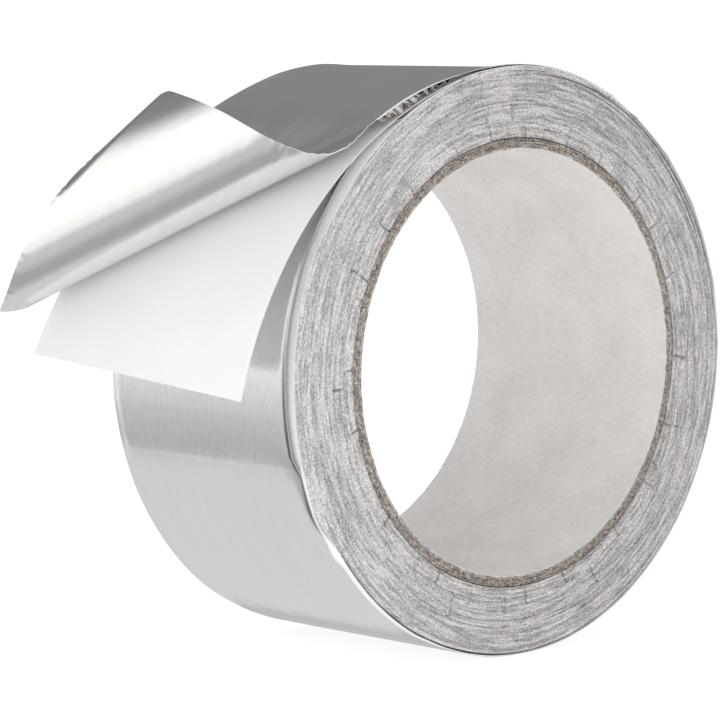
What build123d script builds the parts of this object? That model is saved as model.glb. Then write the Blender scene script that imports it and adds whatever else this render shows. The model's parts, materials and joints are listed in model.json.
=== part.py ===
from build123d import *
from math import cos, hypot, pi, radians, sin
import os

# A roll of aluminium-foil tape with a release liner, standing on its rim.
# Frame: the origin is the centre of the core's bore, halfway across the tape.
# +Y runs along the bore, +Z is up, and the free end of the tape hangs towards -X.

# Driving dimensions, millimetres and degrees
TAPE_WIDTH = 50.0
BORE_RADIUS = 38.1  # a 3 inch core
ROLL_RADIUS = 52.5

# The core is a tube of glued plies, from the bore outwards: (name, thickness)
CORE_PLIES = (
    ("core_lining_paper", 0.4),
    ("core_inner_board", 0.5),
    ("core_middle_board", 0.5),
    ("core_outer_board", 0.45),
    ("core_wrap_paper", 0.15),
)

# One turn of tape, from the roll outwards
LINER_THICK = 0.10
ADHESIVE_THICK = 0.05
FOIL_THICK = 0.08
TURN_THICK = LINER_THICK + ADHESIVE_THICK + FOIL_THICK
TURN_CLEARANCE = 0.03  # between the outermost turn and the turns that it slides on
TURN_STEP = TURN_THICK + TURN_CLEARANCE  # how far the turn sinks as it goes round once
TURN_INNER_RADIUS = ROLL_RADIUS - TURN_THICK  # of the outermost turn, at the lift line

# The free end leaves the roll along a line parallel to the bore and keeps some curl.
LIFT_ANGLE = 106.0  # from +X towards +Z
LIFT_GAP = 0.15  # each side of the lift line, where the tape flexes
FRONT_CURL_RADIUS = 73.0  # of the free end's front edge
FRONT_LENGTH = 76.5
BACK_CURL_RADIUS = 88.0  # the back edge has straightened more, so the end is twisted
BACK_LENGTH = 75.5

# The foil is peeled off the free end from its front corner. The peel line runs
# across the tape from the front edge to the back edge.
PEEL_FRONT = 23.0  # distance from the lift line, along the front edge
PEEL_BACK = 61.5
PEEL_FRONT_RISE = 2.7  # height of the line over the liner's inner face
PEEL_BACK_RISE = 1.25
PEEL_GAP = 0.2  # between the peel line and the foil that is still stuck down

# The peeled flap curls back over the roll as part of a cylinder, then runs straight.
FLAP_START_ANGLE = 30.0  # over the tape, where the flap leaves the peel line
FLAP_END_ANGLE = 184.0
FLAP_CURL_RADIUS = 10.0
FLAP_BLUNT = 0.4  # the sharp corner of the flap is cut short by this much
CURVE_SAMPLES = 17

FRONT_Y = -TAPE_WIDTH / 2
BACK_Y = TAPE_WIDTH / 2


def ring(inner, outer):
    """A tube of the tape's width about the bore's axis."""
    section = Circle(outer) - Circle(inner)
    return extrude(Plane.XZ * section, TAPE_WIDTH / 2, both=True)


def polar(radius, angle, centre=(0.0, 0.0)):
    """The (x, z) point at an angle from +X towards +Z."""
    return (centre[0] + radius * cos(angle), centre[1] + radius * sin(angle))


def band(centre, low, high, start, end, y):
    """The outline of a curved band between two radii and two angles, at one y."""
    rims = []
    for radius in (low, high):
        places = [polar(radius, angle, centre) for angle in (start, (start + end) / 2, end)]
        rims.append([Vector(x, y, z) for x, z in places])
    inner, outer = rims
    return Wire([
        ThreePointArc(*inner),
        Line(inner[2], outer[2]),
        ThreePointArc(*outer),
        Line(outer[0], inner[0]),
    ])


def outer_turn(low, high):
    """One layer of the outermost turn, between two heights over its inner face.

    It runs back from the lift line, once round the roll and under the free end, as
    two half circles whose centres are half a turn's thickness apart.
    """
    lift = radians(LIFT_ANGLE)
    halves = (
        (0.0, lift - LIFT_GAP / ROLL_RADIUS, lift - pi),
        (TURN_STEP / 2, lift - pi, lift - 2 * pi),
    )
    turn = Part()
    for shift, start, end in halves:
        centre = polar(-shift, lift)
        inner = TURN_INNER_RADIUS - shift
        outline = band(centre, inner + low, inner + high, start, end, FRONT_Y)
        turn += extrude(Face(outline), amount=TAPE_WIDTH, dir=(0, 1, 0))
    return turn


def tail_centre(curl_radius):
    """The centre of the free end's curl at one edge of the tape."""
    return polar(TURN_INNER_RADIUS - curl_radius, radians(LIFT_ANGLE))


def tail_point(curl_radius, along, height, y):
    """A point of the free end: along from the lift line, height over the inner face."""
    angle = radians(LIFT_ANGLE) + along / curl_radius
    x, z = polar(curl_radius + height, angle, tail_centre(curl_radius))
    return Vector(x, y, z)


def tail_sheet(low, high):
    """One layer of the free end, between two heights over the tape's inner face."""
    outlines = []
    for curl_radius, length, y in (
        (FRONT_CURL_RADIUS, FRONT_LENGTH, FRONT_Y),
        (BACK_CURL_RADIUS, BACK_LENGTH, BACK_Y),
    ):
        lift = radians(LIFT_ANGLE)
        start, end = lift + LIFT_GAP / curl_radius, lift + length / curl_radius
        centre = tail_centre(curl_radius)
        outlines.append(band(centre, curl_radius + low, curl_radius + high, start, end, y))
    return Solid.make_loft(outlines, ruled=True)


# The peel line and the directions about it: across the line towards the free end,
# and away from the tape.
peel_start = tail_point(FRONT_CURL_RADIUS, PEEL_FRONT, PEEL_FRONT_RISE, FRONT_Y)
peel_end = tail_point(BACK_CURL_RADIUS, PEEL_BACK, PEEL_BACK_RISE, BACK_Y)
peel_length = (peel_end - peel_start).length
peel_axis = (peel_end - peel_start).normalized()
middle_radius = (FRONT_CURL_RADIUS + BACK_CURL_RADIUS) / 2
middle_along = (PEEL_FRONT + PEEL_BACK) / 2
tail_run = tail_point(middle_radius, middle_along + 1, 0, 0) - tail_point(
    middle_radius, middle_along - 1, 0, 0
)
peel_normal = tail_run.cross(peel_axis).normalized()
if peel_normal.X > 0:
    peel_normal = peel_normal * -1
peel_across = peel_axis.cross(peel_normal).normalized()
if peel_across.Z > 0:
    peel_across = peel_across * -1


def peeled_half_space():
    """A block that holds everything beyond the peel line, for trimming stuck foil."""
    size = 4 * TAPE_WIDTH
    plane = Plane(
        origin=(peel_start + peel_end) * 0.5 - peel_across * PEEL_GAP,
        x_dir=peel_axis,
        z_dir=peel_across,
    )
    return plane * Pos(0, 0, size / 2) * Box(size, size, size)


def flat_place(along, y):
    """(along the peel line, away from it) of a point of the tape laid out flat."""
    run, rise = PEEL_BACK - PEEL_FRONT, TAPE_WIDTH
    flat_length = hypot(run, rise)
    u = (run / flat_length, rise / flat_length)
    dx, dy = along - PEEL_FRONT, y - FRONT_Y
    return (dx * u[0] + dy * u[1]) * peel_length / flat_length, dx * u[1] - dy * u[0]


FRONT_CORNER = flat_place(FRONT_LENGTH, FRONT_Y)
BACK_CORNER = flat_place(BACK_LENGTH, BACK_Y)


def flap_point(place, distance, offset):
    """A point of the flap: place along the peel line, distance from it over the curl.

    offset is measured into the curl, from the face between the foil and its adhesive.
    """
    start, end = radians(FLAP_START_ANGLE), radians(FLAP_END_ANGLE)
    curl_length = (end - start) * FLAP_CURL_RADIUS
    angle = start + min(distance, curl_length) / FLAP_CURL_RADIUS
    straight = max(distance - curl_length, 0.0)
    radius = FLAP_CURL_RADIUS - offset
    across = -FLAP_CURL_RADIUS * sin(start) + radius * sin(angle) + straight * cos(angle)
    out = FLAP_CURL_RADIUS * cos(start) - radius * cos(angle) + straight * sin(angle)
    return peel_start + peel_axis * place + peel_across * across + peel_normal * out


def mix(a, b, share):
    """The point a share of the way from a to b."""
    return a + (b - a) * share


def flap_edge(first, last, offset):
    """A curve over the curl between two (place, distance) points of the flat flap."""
    points = []
    for sample in range(CURVE_SAMPLES):
        share = sample / (CURVE_SAMPLES - 1)
        place, distance = mix(first[0], last[0], share), mix(first[1], last[1], share)
        points.append(flap_point(place, distance, offset))
    return Edge.make_spline(points)


def flap_strip(left, right, low, high):
    """A strip of the flap between two edges, each a pair of (place, distance) points."""
    curves = {}
    for offset in (low, high):
        curves[offset] = (flap_edge(*left, offset), flap_edge(*right, offset))
    rims = []
    for end in (0, 1):
        corners = [
            curves[low][0] @ end, curves[low][1] @ end, curves[high][1] @ end, curves[high][0] @ end,
        ]
        rims.append(Face(Wire.make_polygon(corners, close=True)))
    faces = [Face.make_surface_from_curves(*curves[offset]) for offset in (low, high)]
    for side in (0, 1):
        faces.append(Face.make_surface_from_curves(curves[low][side], curves[high][side]))
    return Solid(Shell(faces + rims))


def flap_sheet(low, high):
    """One layer of the flap, between two offsets from the foil's sticky face."""
    back_share = BACK_CORNER[1] / FRONT_CORNER[1]
    tip_share = 1 - FLAP_BLUNT / FRONT_CORNER[1]
    front_start = (0.0, 0.0)
    front_middle = (FRONT_CORNER[0] * back_share, BACK_CORNER[1])
    front_tip = (FRONT_CORNER[0] * tip_share, FRONT_CORNER[1] * tip_share)
    cut_share = (front_tip[1] - BACK_CORNER[1]) / (FRONT_CORNER[1] - BACK_CORNER[1])
    cut_tip = (mix(BACK_CORNER[0], FRONT_CORNER[0], cut_share), front_tip[1])
    lower = flap_strip((front_start, front_middle), ((peel_length, 0.0), BACK_CORNER), low, high)
    upper = flap_strip((front_middle, front_tip), (BACK_CORNER, cut_tip), low, high)
    return lower + upper


parts = {}

radius = BORE_RADIUS
for name, thick in CORE_PLIES:
    parts[name] = ring(radius, radius + thick)
    radius += thick

parts["wound_tape"] = ring(radius, TURN_INNER_RADIUS - TURN_STEP - TURN_CLEARANCE)

LAYERS = (("liner", LINER_THICK), ("adhesive", ADHESIVE_THICK), ("foil", FOIL_THICK))
height = 0.0
for name, thick in LAYERS:
    low, height = height, height + thick
    parts["outer_turn_" + name] = outer_turn(low, height)
    sheet = tail_sheet(low, height)
    parts["tail_" + name] = sheet if name == "liner" else sheet - peeled_half_space()

parts["flap_adhesive"] = flap_sheet(-ADHESIVE_THICK, 0.0)
parts["flap_foil"] = flap_sheet(0.0, FOIL_THICK)

os.makedirs("parts", exist_ok=True)
for name, shape in parts.items():
    export_step(shape, "parts/" + name + ".step")
    print(name, "volume", round(shape.volume, 2), "valid", shape.is_valid)

flat_area = (PEEL_FRONT + PEEL_BACK) / 2 * TAPE_WIDTH
print("peel line from", peel_start, "to", peel_end, "axis", peel_axis)
print("lift line at", polar(ROLL_RADIUS, radians(LIFT_ANGLE)), "stuck-down foil area", flat_area)
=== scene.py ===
import json
from math import atan2, cos, hypot, pi, radians, sin

import bmesh
import bpy
import numpy as np
from mathutils import Matrix, Vector


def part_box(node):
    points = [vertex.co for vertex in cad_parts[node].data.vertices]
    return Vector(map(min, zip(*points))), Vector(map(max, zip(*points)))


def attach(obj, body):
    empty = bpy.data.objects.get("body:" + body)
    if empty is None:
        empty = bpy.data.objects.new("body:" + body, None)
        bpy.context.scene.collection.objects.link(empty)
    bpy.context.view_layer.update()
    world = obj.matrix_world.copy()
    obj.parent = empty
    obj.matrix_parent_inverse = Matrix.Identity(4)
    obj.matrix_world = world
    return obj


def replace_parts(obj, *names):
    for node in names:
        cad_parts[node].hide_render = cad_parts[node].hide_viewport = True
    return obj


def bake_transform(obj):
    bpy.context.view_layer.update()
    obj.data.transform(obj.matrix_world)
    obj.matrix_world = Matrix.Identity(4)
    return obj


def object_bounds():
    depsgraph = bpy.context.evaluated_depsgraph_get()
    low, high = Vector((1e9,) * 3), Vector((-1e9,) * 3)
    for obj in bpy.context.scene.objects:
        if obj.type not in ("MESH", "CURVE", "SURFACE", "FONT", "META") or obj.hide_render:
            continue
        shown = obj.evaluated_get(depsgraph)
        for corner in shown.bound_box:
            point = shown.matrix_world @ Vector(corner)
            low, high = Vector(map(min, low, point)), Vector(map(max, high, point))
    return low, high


# A roll of aluminium-foil tape, standing on its rim, with its free end lifted and the
# foil peeled back off the release liner. Lengths in this script are millimetres, in the
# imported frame, and become metres where a mesh is made.
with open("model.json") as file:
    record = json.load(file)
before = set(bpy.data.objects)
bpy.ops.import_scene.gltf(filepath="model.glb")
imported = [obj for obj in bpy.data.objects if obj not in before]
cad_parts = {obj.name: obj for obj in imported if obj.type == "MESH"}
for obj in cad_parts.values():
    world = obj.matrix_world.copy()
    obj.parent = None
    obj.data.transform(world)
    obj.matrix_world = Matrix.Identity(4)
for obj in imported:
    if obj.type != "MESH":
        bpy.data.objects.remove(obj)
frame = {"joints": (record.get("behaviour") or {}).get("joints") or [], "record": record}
cad_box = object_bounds()

MM = 0.001
random = np.random.default_rng(11)

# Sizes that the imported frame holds
joints = {joint["name"]: joint for joint in frame["joints"]}
lift_line = np.array(joints["tail_lift"]["pos_m"]) / MM
peel_start = np.array(joints["foil_peel"]["pos_m"]) / MM
peel_axis = np.array(joints["foil_peel"]["axis"])
ROLL_RADIUS = hypot(lift_line[0], lift_line[2])
LIFT = atan2(lift_line[2], lift_line[0])


def outer_radius(node):
    """The radius of a round CAD node about the bore's axis."""
    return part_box(node)[1].z / MM


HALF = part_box("wound_tape")[1].y / MM  # half of the tape's width
BORE_RADIUS = frame["record"]["mounts"][0]["dims"]["r_mm"]
WOUND_RADIUS = outer_radius("wound_tape")
CORE_RADIUS = outer_radius("core_wrap_paper")

# One turn of tape, from the roll outwards
LINER = 0.10
ADHESIVE = 0.05
FOIL = 0.08
TURN = LINER + ADHESIVE + FOIL
TURN_STEP = TURN + 0.03  # how far the outermost turn sinks as it goes round once
TURN_INNER = ROLL_RADIUS - TURN

# The free end. Places along the tape are measured from the lift line.
FRONT_CURL, BACK_CURL = 73.0, 88.0  # its two edges have different curls
FRONT_LENGTH, BACK_LENGTH = 76.5, 75.5
PEEL_FRONT, PEEL_BACK = 23.0, 61.5  # where the peel line meets the front and back edges
PEEL_BACK_RISE = 1.25  # of the peel line over the liner's inner face, at the back edge
ROOT = 12.0  # pieces of the free end start this far back round the roll
ROOT_END = 13.0  # and the foil is parted here, where it rides on the free end alone
SCUFFED = -268.0, -247.0  # where the free end has rubbed the turn under it


def mix(a, b, share):
    """The value a share of the way from a to b."""
    return a + (b - a) * share


def smooth(low, high, value):
    """0 below low, 1 above high, and a smooth step between."""
    share = np.clip((value - low) / (high - low), 0, 1)
    return share * share * (3 - 2 * share)


def hump(low, high, value, edge):
    """1 between low and high, falling to 0 over edge on each side."""
    return smooth(low - edge, low, value) * (1 - smooth(high, high + edge, value))


def humps(table, angle):
    """The sum of humps round the roll. The table has (size, from, to, run-in) in degrees."""
    return sum(size * hump(first, last, angle, edge) for size, first, last, edge in table)


def wobble(angles, bumps, seed=None):
    """Smooth periodic noise round the roll, about 1 high, with so many bumps a turn."""
    source = random if seed is None else np.random.default_rng(seed)
    count = 2048
    spectrum = np.fft.rfft(source.normal(size=count))
    wave = np.arange(len(spectrum))
    spectrum *= np.exp(-((wave / bumps) ** 2))
    line = np.fft.irfft(spectrum, count)
    line /= line.std()
    places = np.linspace(0, 2 * pi, count, endpoint=False)
    return np.interp(np.mod(angles, 2 * pi), places, line, period=2 * pi)


# ---------------------------------------------------------------- meshes


def make_object(name, points, faces, material, flat):
    """A smooth-shaded object. flat gives each point a place on the tape laid out flat."""
    mesh = bpy.data.meshes.new(name)
    mesh.from_pydata((points.reshape(-1, 3) * MM).tolist(), [], faces.tolist())
    layer = mesh.attributes.new("flat", "FLOAT_VECTOR", "POINT")
    layer.data.foreach_set("vector", np.ascontiguousarray(flat, np.float32).ravel())
    shell = bmesh.new()
    shell.from_mesh(mesh)
    bmesh.ops.recalc_face_normals(shell, faces=shell.faces)
    shell.to_mesh(mesh)
    shell.free()
    mesh.shade_smooth()
    mesh.set_sharp_from_angle(angle=radians(50))
    mesh.materials.append(material)
    piece = bpy.data.objects.new(name, mesh)
    bpy.context.scene.collection.objects.link(piece)
    return piece


def quads(index, wrap_rows, wrap_columns):
    """The faces of a lattice of vertex numbers."""
    if wrap_rows:
        index = np.vstack([index, index[:1]])
    if wrap_columns:
        index = np.hstack([index, index[:, :1]])
    corners = index[:-1, :-1], index[:-1, 1:], index[1:, 1:], index[1:, :-1]
    return np.stack([corner.ravel() for corner in corners], -1)


def revolved(name, angles, radius, y, material, marks):
    """A closed ring whose section is a loop: radius and y have a row for each angle.

    marks, from 0 to 1, go to the material in the flat record's first number.
    """
    points = np.stack([radius * np.cos(angles)[:, None], y, radius * np.sin(angles)[:, None]], -1)
    index = np.arange(radius.size).reshape(radius.shape)
    flat = np.stack([marks, 0 * marks, 0 * marks], -1)
    return make_object(name, points, quads(index, True, True), material, flat)


def layer_mesh(name, low, high, material, flat):
    """A closed thin sheet between two lattices of points."""
    rows, columns = low.shape[:2]
    index = np.arange(rows * columns).reshape(rows, columns)
    upper = index + rows * columns
    rim = np.concatenate([index[0], index[1:, -1], index[-1, -2::-1], index[-2:0:-1, 0]])
    around = np.stack([rim, rim + rows * columns])
    faces = np.vstack([
        quads(index, False, False),
        quads(upper, False, False),
        quads(around, False, True),
    ])
    points = np.concatenate([low.reshape(-1, 3), high.reshape(-1, 3)])
    return make_object(name, points, faces, material, np.vstack([flat.reshape(-1, 3)] * 2))


# ---------------------------------------------------------------- materials


class Nodes:
    """Adds shader nodes to self.tree."""

    def node(self, kind, inputs=None, output=0, **settings):
        """Make a node, feed its inputs by name or number, and return one of its outputs."""
        made = self.tree.nodes.new("ShaderNode" + kind)
        for key, value in settings.items():
            setattr(made, key, value)
        for key, value in (inputs or {}).items():
            self.feed(made.inputs[key], value)
        return made.outputs[output]

    def feed(self, socket, value):
        """Link a socket to another node's output, or give it a plain value."""
        if isinstance(value, bpy.types.NodeSocket):
            self.tree.links.new(value, socket)
        else:
            socket.default_value = value

    def split(self, vector):
        """The x, y and z of a vector."""
        made = self.tree.nodes.new("ShaderNodeSeparateXYZ")
        self.feed(made.inputs[0], vector)
        return made.outputs

    def math(self, operation, a, b=0.0):
        return self.node("Math", {0: a, 1: b}, operation=operation)

    def total(self, first, *others):
        """The sum of several values."""
        for other in others:
            first = self.math("ADD", first, other)
        return first


class Painter(Nodes):
    """Builds one material's nodes. Patterns are in millimetres."""

    def __init__(self, name):
        self.material = bpy.data.materials.new(name)
        self.material.use_nodes = True
        self.tree = self.material.node_tree
        self.shader = self.tree.nodes["Principled BSDF"]

    def set(self, **inputs):
        """Feed the shader's sockets, with _ in the place of a space in their names."""
        for key, value in inputs.items():
            self.feed(self.shader.inputs[key.replace("_", " ")], value)

    def noise(self, vector, scale, detail=3.0, roughness=0.55):
        inputs = {"Vector": vector, "Scale": scale, "Detail": detail, "Roughness": roughness}
        return self.node("TexNoise", inputs)

    def ramp(self, value, low, high, out_low=0.0, out_high=1.0):
        """value, with the range from low to high stretched to out_low to out_high."""
        return self.node("MapRange", {
            "Value": value,
            "From Min": low,
            "From Max": high,
            "To Min": out_low,
            "To Max": out_high,
        })

    def colours(self, share, dark, light):
        """A colour between dark and light, each a tuple or another node's output."""
        inputs = {"Factor": share, "A": dark, "B": light}
        made = self.tree.nodes.new("ShaderNodeMix")
        made.data_type = "RGBA"
        for socket in made.inputs:
            if socket.enabled and socket.name in inputs:
                value = inputs[socket.name]
                self.feed(socket, (*value, 1.0) if isinstance(value, tuple) else value)
        return next(socket for socket in made.outputs if socket.enabled)

    def stretch(self, vector, scale):
        return self.node("Mapping", {"Vector": vector, "Scale": scale})

    def bump(self, height, distance, strength=1.0, normal=None):
        inputs = {"Height": height, "Distance": distance * MM, "Strength": strength}
        if normal is not None:
            inputs["Normal"] = normal
        return self.node("Bump", inputs)

    def object_mm(self):
        """The place on the object, in millimetres."""
        place = self.node("TexCoord", output=3)
        return self.node("VectorMath", {0: place, 3: 1 / MM}, operation="SCALE")

    def flat(self):
        """The place on the tape laid out flat, in millimetres along and across it."""
        return self.node("Attribute", output=1, attribute_name="flat")

    def around(self):
        """The direction out from the bore's axis, which has no seam, and the distance from it."""
        x, y, z = self.split(self.object_mm())
        square = self.total(self.math("MULTIPLY", x, x), self.math("MULTIPLY", z, z))
        radius = self.math("SQRT", square)
        outward = {0: self.math("DIVIDE", x, radius), 1: self.math("DIVIDE", z, radius)}
        return self.node("CombineXYZ", outward), radius


def foil_material():
    """Bright rolled foil: short streaks along the tape, soft dents and faint smudges."""
    paint = Painter("foil")
    flat = paint.flat()
    streaks = paint.noise(paint.stretch(flat, (0.12, 2.2, 1)), 1.0, 5.0, 0.65)
    long_streaks = paint.noise(paint.stretch(flat, (0.012, 0.8, 1)), 1.0, 3.0)
    dents = paint.noise(paint.stretch(flat, (0.08, 0.16, 1)), 1.0, 2.0)
    smudges = paint.noise(paint.stretch(flat, (0.05, 0.08, 1)), 1.0, 4.0)
    tone = paint.total(
        paint.ramp(streaks, 0.3, 0.7, 0.0, 0.7),
        paint.ramp(long_streaks, 0.3, 0.7, 0.0, 0.3),
    )
    clean = paint.colours(tone, (0.87, 0.86, 0.855), (0.93, 0.92, 0.915))
    # the free end has scuffed the foil where it rubs on the roll
    first, last = SCUFFED
    along = paint.split(flat)[0]
    past_first = paint.ramp(along, first - 4, first)
    before_last = paint.ramp(along, last + 1, last)
    under_end = paint.math("MULTIPLY", past_first, before_last)
    scratches = paint.noise(paint.stretch(flat, (0.3, 1.3, 1)), 1.0, 4.0, 0.7)
    scuff = paint.math("MULTIPLY", under_end, paint.ramp(scratches, 0.42, 0.6))
    paint.set(
        Base_Color=paint.colours(scuff, clean, (0.83, 0.83, 0.83)),
        Metallic=1.0,
        Roughness=paint.ramp(smudges, 0.3, 0.7, 0.12, 0.18),
    )
    relief = paint.bump(streaks, 0.016, 0.5)
    relief = paint.bump(paint.math("MULTIPLY", scratches, under_end), 0.05, 0.7, relief)
    paint.set(Normal=paint.bump(dents, 0.15, 0.45, relief))
    return paint.material


def adhesive_material():
    """A clear tacky coat on the back of the foil, so the foil's grey shows through it."""
    paint = Painter("adhesive")
    flat = paint.flat()
    ripple = paint.noise(paint.stretch(flat, (0.5, 0.25, 1)), 1.0, 4.0)
    speck = paint.noise(flat, 3.0, 2.0)
    paint.set(
        Base_Color=paint.colours(ripple, (0.82, 0.80, 0.775), (0.95, 0.935, 0.92)),
        Metallic=1.0,
        Roughness=paint.ramp(speck, 0.3, 0.7, 0.17, 0.24),
        Coat_Weight=0.2,
        Coat_Roughness=0.08,
        Normal=paint.bump(ripple, 0.02, 0.35, paint.bump(speck, 0.008, 0.3)),
    )
    return paint.material


def liner_material():
    """White release paper, faintly blue: a smooth silicone face over a fine fibre grain."""
    paint = Painter("release_liner")
    flat = paint.flat()
    fibre = paint.noise(paint.stretch(flat, (1.0, 1.6, 1)), 1.2, 5.0, 0.7)
    cloud = paint.noise(flat, 0.06, 2.0)
    tone = paint.total(
        paint.ramp(fibre, 0.3, 0.7, 0.0, 0.35),
        paint.ramp(cloud, 0.3, 0.7, 0.0, 0.65),
    )
    paint.set(
        Base_Color=paint.colours(tone, (0.875, 0.875, 0.90), (0.925, 0.925, 0.94)),
        Roughness=paint.ramp(fibre, 0.3, 0.7, 0.42, 0.52),
        Specular_IOR_Level=0.35,
        Normal=paint.bump(fibre, 0.01, 0.5),
    )
    return paint.material


def wound_material():
    """The slit edges of many turns: streaks round the roll under a coarse grain, and painted shade in
    the cracks and in the gaps between turns.
    """
    paint = Painter("wound_edge")
    outward, radius = paint.around()

    def turning(around_scale, radius_scale):
        """A pattern vector with one scale round the roll and another across the turns."""
        around = paint.node("VectorMath", {0: outward, 3: around_scale}, operation="SCALE")
        across = paint.node("CombineXYZ", {2: paint.math("MULTIPLY", radius, radius_scale)})
        return paint.node("VectorMath", {0: around, 1: across}, operation="ADD")

    streaks = paint.noise(turning(5.0, 1.55), 1.0, 2.0, 0.5)
    turns = paint.noise(turning(22.0, 3.4), 1.0, 2.0, 0.6)
    place = paint.object_mm()
    grain = paint.noise(place, 2.7, 2.0, 0.7)
    patches = paint.noise(place, 0.22, 3.0)
    tone = paint.total(
        paint.ramp(streaks, 0.43, 0.57, 0.0, 0.3),
        paint.ramp(turns, 0.38, 0.62, 0.0, 0.22),
        paint.ramp(grain, 0.42, 0.58, 0.0, 0.42),
        paint.ramp(patches, 0.35, 0.65, 0.0, 0.06),
    )
    # painted shade: the marks darken the colour in the cracks and in the gaps between turns
    crack = paint.split(paint.flat())[0]
    tone = paint.math("MULTIPLY", tone, paint.ramp(crack, 0.1, 0.8, 1.0, 0.1))
    paint.set(
        Base_Color=paint.colours(tone, (0.25, 0.24, 0.235), (0.91, 0.885, 0.88)),
        Metallic=0.15,
        Roughness=paint.ramp(grain, 0.3, 0.7, 0.42, 0.62),
        Normal=paint.bump(grain, 0.08, 0.8, paint.bump(turns, 0.08, 0.7)),
    )
    return paint.material


BOARD_DARK, BOARD_LIGHT = (0.17, 0.14, 0.12), (0.74, 0.68, 0.62)


def board_material(name, dark, light, scale):
    """Grey-brown recycled board: a felt of short fibres with dark and pale specks."""
    paint = Painter(name)
    place = paint.object_mm()
    fibre = paint.noise(paint.stretch(place, (1, 0.5, 1)), scale, 4.0, 0.7)
    speck = paint.noise(place, scale * 1.6, 2.0, 0.5)
    tone = paint.total(
        paint.ramp(fibre, 0.38, 0.62, 0.0, 0.6),
        paint.ramp(speck, 0.5, 0.66, 0.0, 0.4),
    )
    paint.set(
        Base_Color=paint.colours(tone, dark, light),
        Roughness=paint.ramp(speck, 0.3, 0.7, 0.78, 0.95),
        Specular_IOR_Level=0.2,
        Normal=paint.bump(fibre, 0.12, 0.8),
    )
    return paint.material


def lining_material():
    """Pale lining paper with a cloudy formation. Its torn cut end is brown like the board."""
    paint = Painter("lining_paper")
    place = paint.object_mm()
    cloud = paint.noise(place, 0.09, 3.0)
    fibre = paint.noise(paint.stretch(place, (1, 0.6, 1)), 1.3, 5.0, 0.75)
    tone = paint.total(
        paint.ramp(cloud, 0.3, 0.7, 0.0, 0.5),
        paint.ramp(fibre, 0.36, 0.64, 0.0, 0.5),
    )
    face = paint.colours(tone, (0.66, 0.64, 0.63), (0.82, 0.80, 0.79))
    torn = paint.colours(paint.ramp(fibre, 0.35, 0.65), BOARD_DARK, BOARD_LIGHT)
    ragged = paint.math("MULTIPLY", paint.noise(place, 1.1, 2.0), 0.9)
    cut = paint.split(paint.flat())[0]
    paint.set(
        Base_Color=paint.colours(paint.ramp(paint.total(ragged, cut), 0.8, 1.1), face, torn),
        Roughness=paint.ramp(fibre, 0.3, 0.7, 0.6, 0.72),
        Specular_IOR_Level=0.3,
        Normal=paint.bump(fibre, 0.015, 0.5),
    )
    return paint.material


foil = foil_material()
adhesive = adhesive_material()
liner = liner_material()
wound_edge = wound_material()
chipboard = board_material("chipboard", BOARD_DARK, BOARD_LIGHT, 1.7)
wrap_paper = board_material("wrap_paper", (0.10, 0.08, 0.065), (0.36, 0.31, 0.26), 3.0)
lining = lining_material()

# ---------------------------------------------------------------- core

PLY_COLUMNS = 900  # round the tube
CUT_STEPS = 7  # places across the cut end of a ply
LIP = 0.06  # how far the cut end's two corners are rounded over
SHOULDER = 1.2  # how far in from the cut end a ply is plain again
# Places of the bore's wall near the cut end: (how far in, how much it is roughened)
BORE_PLACES = ((SHOULDER, 0.12), (0.5, 0.25))
TEAR_IN, TEAR_OUT = 0.3, 0.12  # limits of the torn end's relief
FRAY = 0.15  # limit of the frayed inner corner's
PLY_GAP = 0.01  # each side of a ply


def ply_section(inner, outer, recess):
    """The loop of a ply's section: (radius, y, how much the place is roughened)."""
    section = []
    for side in (-1, 1):
        end = side * (HALF - recess)
        across = [mix(inner, outer, step / (CUT_STEPS - 1)) for step in range(CUT_STEPS)]
        cut = [(radius, end, 1.0) for radius in across]
        cut[0] = (inner, end - side * LIP, 0.6)
        cut[-1] = (outer, end - side * LIP, 0.6)
        bore = [(inner, end - side * depth, share) for depth, share in BORE_PLACES]
        stop = bore + cut + [(outer, end - side * SHOULDER, 0.0)]
        section += stop if side < 0 else stop[::-1]
    return section


def core_ply(name, inner, outer, recess, rough, material):
    """One ply of the core: a tube whose cut ends are torn a little, so they aren't flat."""
    angles = np.linspace(0, 2 * pi, PLY_COLUMNS, endpoint=False)
    section = ply_section(inner, outer, recess)
    radius = np.zeros((PLY_COLUMNS, len(section)))
    y = np.zeros_like(radius)
    cut = np.zeros_like(radius)  # 1 where the surface is the ply's torn inside
    for place, (level, along, share) in enumerate(section):
        torn = rough * share * (0.6 * wobble(angles, 260) + 0.4 * wobble(angles, 60))
        frayed = rough * share * (0.5 * wobble(angles, 200) + 0.5 * wobble(angles, 40))
        radius[:, place] = level
        if level == inner:
            radius[:, place] += np.clip(frayed, -FRAY, FRAY)
        y[:, place] = along + np.sign(along) * np.clip(torn, -TEAR_IN, TEAR_OUT)
        cut[:, place] = abs(along) > HALF - recess - 0.01 and level > inner + 0.1
    piece = revolved(name, angles, radius, y, material, cut)
    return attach(piece, "roll")


PLY_LOOKS = {  # how far the cut end stands back, how rough it is, its finish
    "core_lining_paper": (0.05, 0.10, lining, "lining_paper"),
    "core_inner_board": (0.10, 0.14, chipboard, "chipboard"),
    "core_middle_board": (0.02, 0.13, chipboard, "chipboard"),
    "core_outer_board": (0.12, 0.14, chipboard, "chipboard"),
    "core_wrap_paper": (0.35, 0.08, wrap_paper, "wrap_paper"),
}


def make_core():
    """All the plies, from the bore outwards."""
    inner = BORE_RADIUS
    for node, (recess, rough, material, slot) in PLY_LOOKS.items():
        outer = outer_radius(node)
        name = node.replace("core_", "ply_")
        ply = core_ply(name, inner + PLY_GAP, outer - PLY_GAP, recess, rough, material)
        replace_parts(ply, node)
        inner = outer


make_core()

# ---------------------------------------------------------------- wound tape

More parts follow.
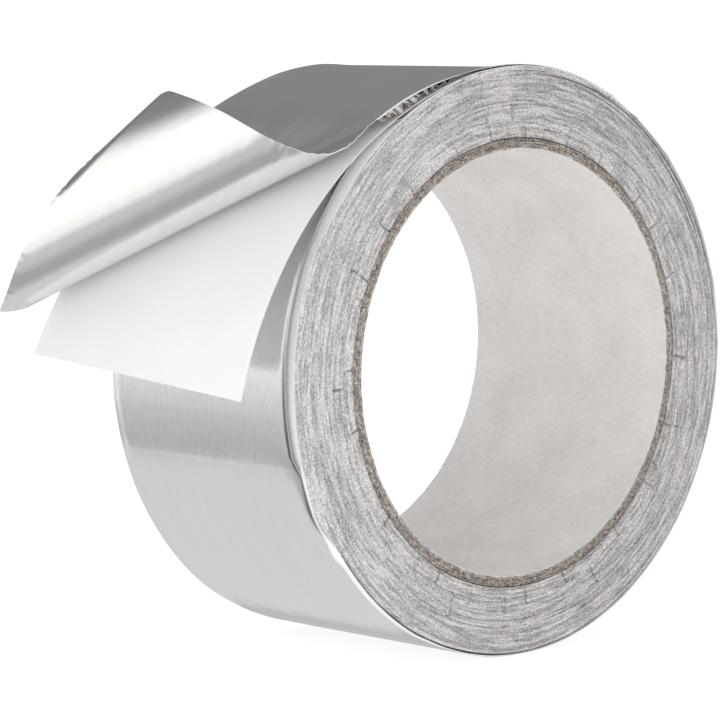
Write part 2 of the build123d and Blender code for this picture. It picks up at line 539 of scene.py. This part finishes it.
# Degrees round the roll of the near cracks. Those in the first table are where the
# photograph shows them, and the rest go on along the bottom.
SEEN_CRACKS = (
    19, 28, 34, 43, 49, 55, 60, 65, 73, 82, 88, 94, 100, 112, 130, 142, 156, 161, 178, 193, 209, 218,
)
MORE_CRACKS = np.linspace(231, 366, 13)
FAR_CRACKS = np.linspace(0, 330, 12)  # these start away from the core
CRACKS = len(SEEN_CRACKS) + len(MORE_CRACKS) + len(FAR_CRACKS)
crack_angles = np.radians(np.concatenate([
    SEEN_CRACKS,
    MORE_CRACKS + random.uniform(-4, 4, len(MORE_CRACKS)),
    FAR_CRACKS + random.uniform(-8, 8, len(FAR_CRACKS)),
]))
crack_is_near = np.arange(CRACKS) < CRACKS - len(FAR_CRACKS)
crack_start = np.where(crack_is_near, 0.0, random.uniform(1.5, 5.5, CRACKS))  # from the core
crack_reach = crack_start + random.uniform(1.4, 4.4, CRACKS)
crack_lean = random.uniform(-0.45, 0.45, CRACKS)
crack_hook = random.uniform(-1.4, 1.4, CRACKS)  # how far it turns aside at its end
crack_strength = random.uniform(0.3, 0.95, CRACKS)

TURNS = 52
PITCH = (WOUND_RADIUS - CORE_RADIUS) / TURNS
# Each turn's edge slopes down outwards: (share of the pitch, how far it stands back)
TURN_PROFILE = ((0.20, 0.0), (0.55, 0.035), (0.90, 0.10))
# Painted shade in the gaps between turns on the right, by columns from the outside: (first
# column, how many columns, from and to in degrees round the roll)
PAINTED_GAP_SHADE = ((-6, 3, 12, 76), (-16, 2, 22, 70), (-28, 1, 30, 62))
GAP_COLUMN, GAP_RECESS = -6, 0.55  # one column of the first gap is sunk this far
CRACK_WIDTH, HOOK_WIDTH = 0.15, 0.13
CRACK_DEPTH = 0.4
CRACK_EDGE = 0.16  # how far the paper stands up along one side of a crack
RELIEF_LOW, RELIEF_HIGH = -0.7, 0.25  # limits of the face's relief
FACE_SHIFT = 0.10  # how far the whole wound face stands back


def wound_angles():
    """Even angles round the roll, with more of them beside each crack."""
    even = np.linspace(0, 2 * pi, 360, endpoint=False)
    near = [angle + np.linspace(-0.5, 0.5, 4) / (CORE_RADIUS + 3) for angle in crack_angles]
    angles = np.unique(np.mod(np.concatenate([even, *near]), 2 * pi))
    return angles[np.concatenate([[True], np.diff(angles) > 0.0008])]


def turn_rows(angles):
    """The radius and the relief of each row of the face, a row for each angle."""
    radii, depths = [], []
    level = 0.0  # of a turn, which is near the level of the turn under it
    for turn in range(TURNS):
        level = 0.7 * level + 0.05 * random.normal()
        sway = 0.03 * wobble(angles, 5) + 0.03 * wobble(angles, 30) + 0.025 * wobble(angles, 300)
        for share, drop in TURN_PROFILE:
            radii.append(np.full(len(angles), CORE_RADIUS + (turn + share) * PITCH))
            depths.append(level + sway - drop + 0.02 * wobble(angles, 500))
    return np.stack(radii, 1), np.stack(depths, 1)


def add_gaps(angles, depth, marks):
    """The last turns before the outermost one stand apart on the right, with painted shade in the
    gaps.
    """
    round_roll = np.degrees(angles)
    depth[:, GAP_COLUMN] -= GAP_RECESS * hump(12, 80, round_roll, 8)
    # painted shade: the marks darken the colour in these gaps
    for column, count, first, last in PAINTED_GAP_SHADE:
        marks[:, column:column + count] = 0.95 * hump(first, last, round_roll, 8)[:, None]


def add_cracks(angles, radius, depth, marks):
    """Short cracks across the turns, most of them at the core, that lean a little, with painted shade
    in them.
    """
    out = radius - CORE_RADIUS
    for angle, begin, reach, lean, hook, strength in zip(
        crack_angles, crack_start, crack_reach, crack_lean, crack_hook, crack_strength
    ):
        off = (np.mod(angles[:, None] - angle + pi, 2 * pi) - pi) * radius
        line = off - lean * (out - begin) * 0.5
        within = hump(begin, reach, out, 0.2)
        on_line = np.exp(-((line / CRACK_WIDTH) ** 2)) * within
        hook_end = hump(min(hook, 0), max(hook, 0), line, CRACK_WIDTH)
        on_hook = np.exp(-(((out - reach) / HOOK_WIDTH) ** 2)) * hook_end
        on_crack = np.maximum(on_line, on_hook)
        # painted shade in the crack, carried in the marks
        marks[:] = np.maximum(marks, strength * on_crack)
        beside = smooth(0.1, 0.3, line) * (1 - smooth(0.6, 2.4, line)) * within
        depth += strength * (CRACK_EDGE * beside - CRACK_DEPTH * on_crack)


def wound_half(name, side):
    """Half of the wound tape, from its middle to one slit face, with the face's relief."""
    angles = wound_angles()
    radius, depth = turn_rows(angles)
    marks = np.zeros_like(depth)
    add_gaps(angles, depth, marks)
    add_cracks(angles, radius, depth, marks)
    if side > 0:  # so that the two faces differ
        depth = np.roll(depth, len(angles) // 3, axis=0)
        marks = np.roll(marks, len(angles) // 3, axis=0)
    full = np.ones(len(angles))
    face = side * (HALF + np.clip(depth, RELIEF_LOW, RELIEF_HIGH) - FACE_SHIFT)
    y = np.column_stack([0 * full, face, full * side * (HALF + RELIEF_LOW), 0 * full])
    rims = full * CORE_RADIUS, full * WOUND_RADIUS
    radius = np.column_stack([rims[0], radius, rims[1], rims[1]])
    marks = np.column_stack([0 * full, marks, 0 * full, 0 * full])
    piece = revolved(name, angles, radius, y, wound_edge, marks)
    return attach(piece, "roll")


for name, side in (("wound_turns_front", -1), ("wound_turns_back", 1)):
    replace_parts(wound_half(name, side), "wound_tape")

# ---------------------------------------------------------------- the tape's shape

# Degrees round the roll where the outermost turn has shallow kinks
KINKS = np.array([
    0, 13, 31, 43.5, 55.5, 63, 76, 92, 118, 141, 168, 187, 206, 226, 247, 262, 283, 301, 322, 344, 360,
])
# These tables are (size in millimetres, from, to, run-in in degrees round the roll). The
# number after each is how far in from the tape's edge it reaches.
# How far the outer turns spread at their front edge:
FRONT_FLARE, FLARE_DEPTH = ((1.3, 160, 200, 16), (0.4, 70, 100, 14)), 2.5
# A slack stretch of the front edge, next to a loose one:
FRONT_SLACK, SLACK_DEPTH = ((0.22, 218, 240, 6),), 3.0
# How far the back edge of the outermost turn stands up:
BACK_FLARE, BACK_DEPTH = ((0.25, 96, 232, 14),), 1.8
# How far the foil's front edge stands up off the liner where it is set back most:
EDGE_RISE, EDGE_DEPTH = ((0.9, 126, 194, 4),), 3.0
# The loose stretch of the front edge, low on the left: its height, place and width
LOOSE_RISE, LOOSE_AT, LOOSE_WIDTH, LOOSE_DEPTH = 0.85, 207.5, 5.2, 2.2
# The foil's front edge is set back from the liner's, a little all round and more in places
SET_BACK = 0.25
SET_BACKS = ((1.6, 128, 193.5, 2.0), (1.1, 195.5, 216, 2.5), (1.1, 216, 242, 8))
SET_BACK_START = 20  # over this length before the lift line it starts from nothing
RIPPLE = 0.02
SWELL_FADE = 12  # length past the lift line over which the roll's swell dies away

# The foil stands off the liner along its front edge, more and more up to the peel line
GAP_ALONG = (-48, -30, -13, -6, 1, 6, 11, 19, 23)
GAP_RISE = (0, 0.05, 0.25, 0.4, 1.0, 1.45, 1.8, 2.1, 2.3)
GAP_DEPTH = 4.5  # how far in from the front edge the gap reaches
LIP_DROP, LIP_WIDTH = 0.25, 0.8  # the foil's very edge turns down again
STRAND_DEPTH = 1.6  # how far in the adhesive is torn into strands
strand_places = np.arange(-60, 40, 0.5)
strand_shares = random.uniform(0, 1, len(strand_places))


def angle_at(along):
    """Degrees round the roll, from 0 to 360, of a place before the lift line."""
    return np.mod(np.degrees(LIFT + along / ROLL_RADIUS), 360)


def roll_swell(along, y):
    """How far the outermost turn stands off its true round shape."""
    angle = angle_at(along)
    from_front = y + HALF
    # straight chords between shallow kinks, as a stiff foil turn takes
    chord = np.interp(angle, KINKS, np.arange(len(KINKS)))
    fold = np.abs(np.mod(chord, 1) - 0.5) * 2
    facets = (0.05 + 0.16 * hump(-1, 68, angle, 6)) * fold**3
    loose = LOOSE_RISE * np.exp(-(((angle - LOOSE_AT) / LOOSE_WIDTH) ** 2))
    front = (
        loose * np.exp(-from_front / LOOSE_DEPTH)
        + humps(FRONT_SLACK, angle) * np.exp(-from_front / SLACK_DEPTH)
        + humps(FRONT_FLARE, angle) * np.exp(-from_front / FLARE_DEPTH)
    )
    back = humps(BACK_FLARE, angle) * smooth(HALF - BACK_DEPTH, HALF, y)
    ripple = RIPPLE * (1 + wobble(np.radians(angle), 14, seed=5))
    return facets + front + back + ripple


def front_edge(along):
    """Where the foil's front edge runs on the roll. It meets the liner's at the lift line."""
    set_back = SET_BACK + humps(SET_BACKS, angle_at(along))
    return -HALF + set_back * smooth(0, SET_BACK_START, -along)


def edge_curl(along, y):
    """How far the foil's front edge stands up off the liner where it is set back."""
    near = np.clip(1 - (y - front_edge(along)) / EDGE_DEPTH, 0, 1)
    return humps(EDGE_RISE, angle_at(along)) * near**2


def front_gap(along, y):
    """How far the foil stands off the liner near the front edge."""
    rise = np.interp(along, GAP_ALONG, GAP_RISE)
    rise = rise * (1 - smooth(PEEL_FRONT + 6, PEEL_FRONT + 20, along))
    from_front = y + HALF
    turned_down = LIP_DROP * np.clip(1 - from_front / LIP_WIDTH, 0, 1) ** 2 * np.clip(rise, 0, 1)
    return rise * np.exp(-((from_front / GAP_DEPTH) ** 1.5)) - turned_down


def strands(along, y):
    """The share of the gap that the adhesive follows: it tears into strands at the edge."""
    torn = np.interp(along, strand_places, strand_shares)
    near = np.exp(-(((y + HALF) / STRAND_DEPTH) ** 2))
    return mix(1.0, torn, near * smooth(-5, 4, along))


def tape_point(along, y, height):
    """A point of the tape: along it from the lift line, across it, over its inner face.

    Before the lift line the tape lies on the roll, on two half circles whose centres are
    half a turn's thickness apart. Beyond it, the tape is ruled between two curls, and the
    roll's swell dies away.
    """
    at_lift_line = roll_swell(-0.01 + 0 * along, y)
    dying = at_lift_line * np.exp(-np.maximum(along, 0) / SWELL_FADE)
    height = height + np.where(along < 0, roll_swell(along, y), dying)
    angle = LIFT + along / ROLL_RADIUS
    shift = np.where(angle < LIFT - pi, TURN_STEP / 2, 0.0)
    on_roll = np.stack([
        (TURN_INNER - shift + height) * np.cos(angle) - shift * cos(LIFT),
        y,
        (TURN_INNER - shift + height) * np.sin(angle) - shift * sin(LIFT),
    ], -1)
    edges = []
    for curl in (FRONT_CURL, BACK_CURL):
        turned = LIFT + along / curl
        edges.append(np.stack([
            (TURN_INNER - curl) * cos(LIFT) + (curl + height) * np.cos(turned),
            y,
            (TURN_INNER - curl) * sin(LIFT) + (curl + height) * np.sin(turned),
        ], -1))
    free = mix(edges[0], edges[1], ((y + HALF) / (2 * HALF))[..., None])
    return np.where((along < 0)[..., None], on_roll, free)


def free_length(y):
    """How far the free end's cut edge is from the lift line."""
    return mix(FRONT_LENGTH, BACK_LENGTH, (y + HALF) / (2 * HALF))


def lattice(first, last, count, rows, low_edge=None):
    """(along, y) of a lattice on the flat tape. low_edge gives where the front edge runs."""
    along = np.linspace(first, last, count)[:, None] + np.zeros(rows)
    share = np.linspace(0, 1, rows)
    share = mix(share, share * share * (3 - 2 * share), 0.5)  # closer rows near the edges
    front = np.full(count, -HALF) if low_edge is None else low_edge(along[:, 0])
    y = mix(front[:, None], HALF, share[None, :])
    return along, y


def free_lattice(first, count, rows):
    """(along, y) of a lattice from a place on the tape to the free end's cut edge."""
    along, y = lattice(first, 1, count, rows)
    share = (along - first) / (1 - first)
    return mix(first, free_length(y), share), y


def flat_record(along, y):
    return np.stack([along, y, 0 * y], -1)


LAYERS = {
    "liner": (0.0, LINER, liner, "release_liner"),
    "adhesive": (LINER, LINER + ADHESIVE, adhesive, "adhesive"),
    "foil": (LINER + ADHESIVE, TURN, foil, "foil"),
}

# ---------------------------------------------------------------- outermost turn

# Where the outermost turn spreads at its front edge, a wedge of the turns under it has
# spread with it. The wedge goes round with the outermost turn. (name, from, to) in degrees
# round the roll. The left wedge is past the lift line, so it is counted a whole turn back.
SPREADS = (("left", 145 - 360, 215 - 360), ("top", 57, 105.5))
SPREAD_COLUMNS, SPREAD_ROWS = 240, 24
SPREAD_RECESS, SPREAD_DEPTH = 0.08, 7  # from the front edge to the wedge's two sides
SPREAD_GAP = 0.03  # between the wedge and the outermost turn


def spread_turns(name, first, last):
    """A wedge between the wound tape and the outermost turn, along the front edge."""
    start, end = (radians(angle) - LIFT for angle in (first, last))
    along = np.linspace(start * ROLL_RADIUS, end * ROLL_RADIUS, SPREAD_COLUMNS)[:, None]
    y = np.linspace(-HALF + SPREAD_RECESS, -HALF + SPREAD_DEPTH, SPREAD_ROWS)[None, :]
    along, y = along + 0 * y, y + 0 * along
    over = tape_point(along, y, -SPREAD_GAP + 0 * y)
    angle = LIFT + along / ROLL_RADIUS
    radius = WOUND_RADIUS + 0.01
    under = np.stack([radius * np.cos(angle), y, radius * np.sin(angle)], -1)
    piece = layer_mesh(name, under, over, wound_edge, 0 * under)
    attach(piece, "outer_turn")


def turn_layer(layer):
    """One layer of the outermost turn, from under the free end round to its root."""
    low, high, material, slot = LAYERS[layer]
    edge = None if layer == "liner" else front_edge
    along, y = lattice(-2 * pi * ROLL_RADIUS, -ROOT, 620, 56, edge)
    lift = 0 if layer == "liner" else edge_curl(along, y) + front_gap(along, y)
    if layer == "adhesive":
        lift = lift * strands(along, y)
    piece = layer_mesh(
        "turn_" + layer,
        tape_point(along, y, low + lift),
        tape_point(along, y, high + lift),
        material,
        flat_record(along, y),
    )
    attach(piece, "outer_turn")
    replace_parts(piece, "outer_turn_" + layer)


for name, first, last in SPREADS:
    spread_turns("spread_turns_" + name, first, last)
for layer in LAYERS:
    turn_layer(layer)

# ---------------------------------------------------------------- free end


def make_free_liner():
    """The release liner of the free end, whole to its cut edge."""
    along, y = free_lattice(-ROOT, 190, 56)
    free_liner = layer_mesh(
        "free_liner",
        tape_point(along, y, 0.0),
        tape_point(along, y, LINER),
        liner,
        flat_record(along, y),
    )
    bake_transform(free_liner)
    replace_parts(free_liner, "tail_liner")


def root_layer(layer):
    """The foil or adhesive round the lift line, still stuck to the liner."""
    low, high, material, slot = LAYERS[layer]
    along, y = lattice(-ROOT, ROOT_END, 110, 56)
    lift = front_gap(along, y)
    if layer == "adhesive":
        lift = lift * strands(along, y)
    piece = layer_mesh(
        "root_" + layer,
        tape_point(along, y, low + lift),
        tape_point(along, y, high + lift),
        material,
        flat_record(along, y),
    )
    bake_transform(piece)
    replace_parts(piece, "tail_" + layer)


make_free_liner()
for layer in ("adhesive", "foil"):
    root_layer(layer)

# ---------------------------------------------------------------- peeled flap


def one_point(along, y, height):
    """A single point of the tape."""
    return tape_point(np.array([along]), np.array([y]), np.array([height]))[0]


peel_end = one_point(PEEL_BACK, HALF, PEEL_BACK_RISE)
peel_length = float(np.linalg.norm(peel_end - peel_start))
peel_middle = (PEEL_FRONT + PEEL_BACK) / 2
tape_run = one_point(peel_middle + 1, 0.0, 0.0) - one_point(peel_middle - 1, 0.0, 0.0)
peel_out = np.cross(tape_run, peel_axis)
peel_out /= np.linalg.norm(peel_out)
if peel_out[0] > 0:
    peel_out = -peel_out
peel_across = np.cross(peel_axis, peel_out)
if peel_across[2] > 0:
    peel_across = -peel_across


def flat_place(along, y):
    """(along the peel line, away from it) of a place on the flat tape."""
    run, rise = PEEL_BACK - PEEL_FRONT, 2 * HALF
    length = hypot(run, rise)
    u = run / length, rise / length
    dx, dy = along - PEEL_FRONT, y + HALF
    return (dx * u[0] + dy * u[1]) * peel_length / length, dx * u[1] - dy * u[0]


front_corner = flat_place(FRONT_LENGTH, -HALF)
back_corner = flat_place(BACK_LENGTH, HALF)

# Heading of the foil over the tape, in degrees, by distance from the peel line
CURL_DISTANCE = (0, 3, 7, 12, 18, 26, 34, 43)
CURL_HEADING = (6, 12, 43, 88, 132, 172, 184, 185)
CURL_STEP = 0.1  # the curl is added up in steps of this length
CURL_REACH = 46  # a little past the flap's corner
CURL_ROUNDING = 31  # steps over which the heading is averaged, so that the curl has no corners
CORNER_TURN = radians(30)  # how much more the flap's front corner curls, at its very tip
TWIST, BOW = -0.17, -0.13  # radians by which the curl changes along the peel line
LIFT_OFF_SLOPE = 0.32  # of the foil as it rises to the peel line
SOFTNESS = 0.35  # how gently the foil starts to rise off the liner


def tip_distance(place):
    """How far the free end's cut edge is from the peel line, at a place along the line."""
    share = np.clip((place - front_corner[0]) / (back_corner[0] - front_corner[0]), 0, 1)
    return mix(front_corner[1], back_corner[1], share)


def curl_headings(place, corner, distance):
    """The foil's heading, in radians, at each of the distances from the peel line."""
    heading = np.radians(np.interp(distance, CURL_DISTANCE, CURL_HEADING))
    margin = CURL_ROUNDING // 2
    padded = np.concatenate([np.full(margin, heading[0]), heading, np.full(margin, heading[-1])])
    heading = np.convolve(padded, np.ones(CURL_ROUNDING) / CURL_ROUNDING, "valid")
    from_middle = place / peel_length - 0.5
    twist = TWIST * from_middle + BOW * (from_middle**2 - 0.08)
    turned = heading + twist[..., None] * np.clip(distance / 12, 0, 1)
    at_tip = smooth(-5, 0, distance - tip_distance(place)[..., None])
    return turned + CORNER_TURN * corner[..., None] * at_tip


def flap_point(place, away, offset, corner):
    """A point of the flap. offset is into the curl, from the foil's sticky face."""
    distance = np.arange(0, CURL_REACH, CURL_STEP)
    turned = curl_headings(place, corner, distance)
    across = np.cumsum(np.cos(turned), -1) * CURL_STEP
    out = np.cumsum(np.sin(turned), -1) * CURL_STEP
    steps = np.clip(np.clip(away, 0, CURL_REACH - 1) / CURL_STEP, 0, len(distance) - 2)
    low = steps.astype(int)
    picked = []
    for field in (across, out, turned):
        first = np.take_along_axis(field, low[..., None], -1)[..., 0]
        second = np.take_along_axis(field, low[..., None] + 1, -1)[..., 0]
        picked.append(mix(first, second, steps - low))
    across, out, turned = picked
    across = across - offset * np.sin(turned)
    out = out + offset * np.cos(turned)
    return (
        peel_start
        + place[..., None] * peel_axis
        + across[..., None] * peel_across
        + out[..., None] * peel_out
    )


CRIMP_FRONT, CRIMP_END = 0.09, 0.07  # heights of the small crimps along the flap's edges
FRONT_CRIMP_DEPTH, END_CRIMP_DEPTH = 1.8, 0.7  # how far in from its edge each set reaches


def crimps(along, y, away):
    """Small crimps of the flap along its front edge and its cut end, unevenly spaced."""
    to_end = free_length(y) - along
    at_front = np.sin(along * 2.3 + 1.7 * np.sin(along * 0.9)) * hump(2, 22, away, 4)
    at_end = np.sin(y * 2.1 + 2.6 * np.sin(y * 0.9)) * hump(-8, 20, y, 6)
    front = CRIMP_FRONT * at_front * np.exp(-(y + HALF) / FRONT_CRIMP_DEPTH)
    return front + CRIMP_END * at_end * np.exp(-to_end / END_CRIMP_DEPTH)


def foil_height(lift, gap):
    """A smooth greater of the stuck foil's height and the rise to the peel line."""
    return SOFTNESS * np.logaddexp((LINER + ADHESIVE + gap) / SOFTNESS, lift / SOFTNESS)


def foil_point(along, y, offset):
    """A point of the loose foil: stuck to the liner before the peel line, curled after it."""
    place, away = flat_place(along, y)
    # the straight peel line seen from the curved tape under it
    on_line = np.clip(place, 0, peel_length)
    line_share = on_line / peel_length
    line_along, line_y = mix(PEEL_FRONT, PEEL_BACK, line_share), mix(-HALF, HALF, line_share)
    under = tape_point(line_along, line_y, 0 * line_y)
    normal = tape_point(line_along, line_y, 1 + 0 * line_y) - under
    normal /= np.linalg.norm(normal, axis=-1, keepdims=True)
    miss = peel_start + on_line[..., None] * peel_axis - under
    rise = (miss * normal).sum(-1)
    side_miss = miss - rise[..., None] * normal
    # the foil rises to meet the line, and the rest of the miss fades in with it
    behind = np.minimum(away, 0)
    fade = np.exp(behind / 3)
    height = foil_height(rise + behind * LIFT_OFF_SLOPE, front_gap(along, y))
    height += (rise - foil_height(rise, front_gap(line_along, line_y))) * fade
    stuck = tape_point(along, y, height + offset) + side_miss * fade[..., None]
    corner = 1 - smooth(4, 32, place - front_corner[0])
    free = flap_point(place, away, offset + crimps(along, y, away), corner)
    return np.where((away < 0)[..., None], stuck, free)


flap_along, flap_y = free_lattice(ROOT_END, 190, 150)

# The adhesive hangs down into the gap by torn amounts, and not near the peel line
hang = front_gap(flap_along, flap_y) * (1 - strands(flap_along, flap_y))
hang = hang * smooth(0, 5, -flat_place(flap_along, flap_y)[1])


def peeled_layer(layer, low, high):
    """The loose foil or its adhesive, from past the lift line to the flap's cut end."""
    material, slot = LAYERS[layer][2:]
    piece = layer_mesh(
        "peeled_" + layer,
        foil_point(flap_along, flap_y, low),
        foil_point(flap_along, flap_y, high),
        material,
        flat_record(flap_along, flap_y),
    )
    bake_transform(piece)
    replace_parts(piece, "flap_" + layer)


peeled_layer("adhesive", -ADHESIVE - hang, -hang)
peeled_layer("foil", 0.0, FOIL)

# ---------------------------------------------------------------- camera, floor and light


def direction(azimuth, elevation):
    """The unit vector at degrees round from the front and up from level."""
    azimuth, elevation = radians(azimuth), radians(elevation)
    return (sin(azimuth) * cos(elevation), -cos(azimuth) * cos(elevation), sin(elevation))


VIEW_AZIMUTH, VIEW_ELEVATION = -42.3237, 5.3555
VIEW_DISTANCE = 652.29
VIEW_SIDE, VIEW_UP = 11.6347, 1.1545  # how far the picture's centre is from the bore's centre
LENS = 178.18


def make_camera():
    back = Vector(direction(VIEW_AZIMUTH, VIEW_ELEVATION))
    right = (-back).cross(Vector((0, 0, 1))).normalized()
    up = right.cross(-back)
    eye = back * VIEW_DISTANCE - right * VIEW_SIDE - up * VIEW_UP
    data = bpy.data.cameras.new("camera")
    data.lens = LENS
    data.sensor_width = 36
    data.clip_start = 0.01
    data.clip_end = 50
    camera = bpy.data.objects.new("camera", data)
    bpy.context.scene.collection.objects.link(camera)
    turn = Matrix((right, up, back)).transposed().to_4x4()
    camera.matrix_world = Matrix.Translation(eye * MM) @ turn
    bpy.context.scene.camera = camera


def make_floor():
    """A pale floor that glows faintly, so that it is as white as the backdrop."""
    paint = Painter("floor")
    cloud = paint.noise(paint.object_mm(), 0.01, 2.0)
    paint.set(
        Base_Color=paint.colours(cloud, (0.61, 0.61, 0.61), (0.63, 0.63, 0.63)),
        Roughness=0.9,
        Specular_IOR_Level=0.0,
        Emission_Color=(1, 1, 1, 1),
        Emission_Strength=0.68,
    )
    size = 6.0  # metres
    mesh = bpy.data.meshes.new("floor")
    corners = [(-size, -size, 0), (size, -size, 0), (size, size, 0), (-size, size, 0)]
    mesh.from_pydata(corners, [], [(0, 1, 2, 3)])
    mesh.materials.append(paint.material)
    floor = bpy.data.objects.new("floor", mesh)
    bpy.context.scene.collection.objects.link(floor)
    floor.location.z = cad_box[0].z
    floor.visible_glossy = False


def soft_light(name, azimuth, elevation, distance, size, power):
    """A large soft light that faces the roll, in metres and watts."""
    toward = Vector(direction(azimuth, elevation))
    data = bpy.data.lights.new(name, "AREA")
    data.size = size
    data.energy = power
    lamp = bpy.data.objects.new(name, data)
    bpy.context.scene.collection.objects.link(lamp)
    lamp.location = toward * distance
    lamp.rotation_euler = toward.to_track_quat("Z", "Y").to_euler()
    lamp.visible_glossy = False
    lamp.visible_camera = False


# The surroundings that gloss reflects: (elevation, brightness) of the whole sky, then
# patches of it: (azimuth, elevation, inner radius, outer radius, brightness)
SKY_LEVELS = (
    (-90, 0.69), (-27.2, 0.69), (-26.4, 0.44), (-12, 0.68), (0, 1.0), (14, 1.2), (50, 1.2), (90, 0.55),
)
SKY_PATCHES = (
    (-100, -12, 14, 34, 1.05),
    (-76, -24, 12, 26, 0.62),
    (-60, -52, 8, 30, 0.42),
    (75, 12, 20, 52, 0.5),
    (172, -10, 8, 24, 0.08),
    (150, 14, 24, 35, 0.24),
    (176, 34, 8, 24, 0.20),
)
MATT_LEVEL = 0.70  # brightness of the even surroundings that light matt surfaces
BACKDROP_LEVEL = 1.1  # brightness that the camera sees


class Sky(Nodes):
    """The studio's surroundings: even for the eye and for matt surfaces, shaped for gloss."""

    def __init__(self):
        world = bpy.data.worlds.new("studio")
        world.use_nodes = True
        bpy.context.scene.world = world
        self.tree = world.node_tree
        self.tree.nodes.clear()
        self.look = self.node("TexCoord")

    def patch(self, base, azimuth, elevation, inner, outer, tone):
        """base, turned to tone within inner degrees of a direction, and unchanged past outer."""
        towards = direction(azimuth, elevation)
        dot = self.node("VectorMath", {0: self.look, 1: towards}, 1, operation="DOT_PRODUCT")
        angle = self.math("ARCCOSINE", dot)
        share = self.node(
            "MapRange",
            {"Value": angle, "From Min": radians(inner), "From Max": radians(outer)},
            interpolation_type="SMOOTHSTEP",
        )
        keep = self.math("MULTIPLY", base, share)
        rest = self.math("SUBTRACT", 1.0, share)
        return self.node("Math", {0: rest, 1: tone, 2: keep}, operation="MULTIPLY_ADD")

    def levels(self):
        """The brightness of the whole sky by elevation."""
        ramp = self.tree.nodes.new("ShaderNodeValToRGB")
        stops = ramp.color_ramp.elements
        while len(stops) < len(SKY_LEVELS):
            stops.new(0.5)
        for stop, (elevation, tone) in zip(stops, SKY_LEVELS):
            stop.position = (sin(radians(elevation)) + 1) / 2
            stop.color = (tone, tone, tone, 1)
        height = self.split(self.look)[2]
        share = self.node("MapRange", {"Value": height, "From Min": -1.0, "From Max": 1.0})
        self.feed(ramp.inputs[0], share)
        return ramp.outputs[0]

    def build(self):
        gloss = self.levels()
        for patch in SKY_PATCHES:
            gloss = self.patch(gloss, *patch)
        rays = self.tree.nodes.new("ShaderNodeLightPath").outputs
        lit = {"Factor": rays["Is Glossy Ray"], "A": MATT_LEVEL, "B": gloss}
        seen = {"Factor": rays["Is Camera Ray"], "A": self.node("Mix", lit), "B": BACKDROP_LEVEL}
        level = self.node("Mix", seen)
        background = self.tree.nodes.new("ShaderNodeBackground")
        self.feed(background.inputs["Color"], (1, 1, 1, 1))
        self.feed(background.inputs["Strength"], level)
        output = self.tree.nodes.new("ShaderNodeOutputWorld")
        self.feed(output.inputs[0], background.outputs[0])


make_camera()
make_floor()
soft_light("key", -54, 6, 0.36, 0.34, 0.34)
Sky().build()
bpy.context.scene.view_settings.view_transform = "Standard"
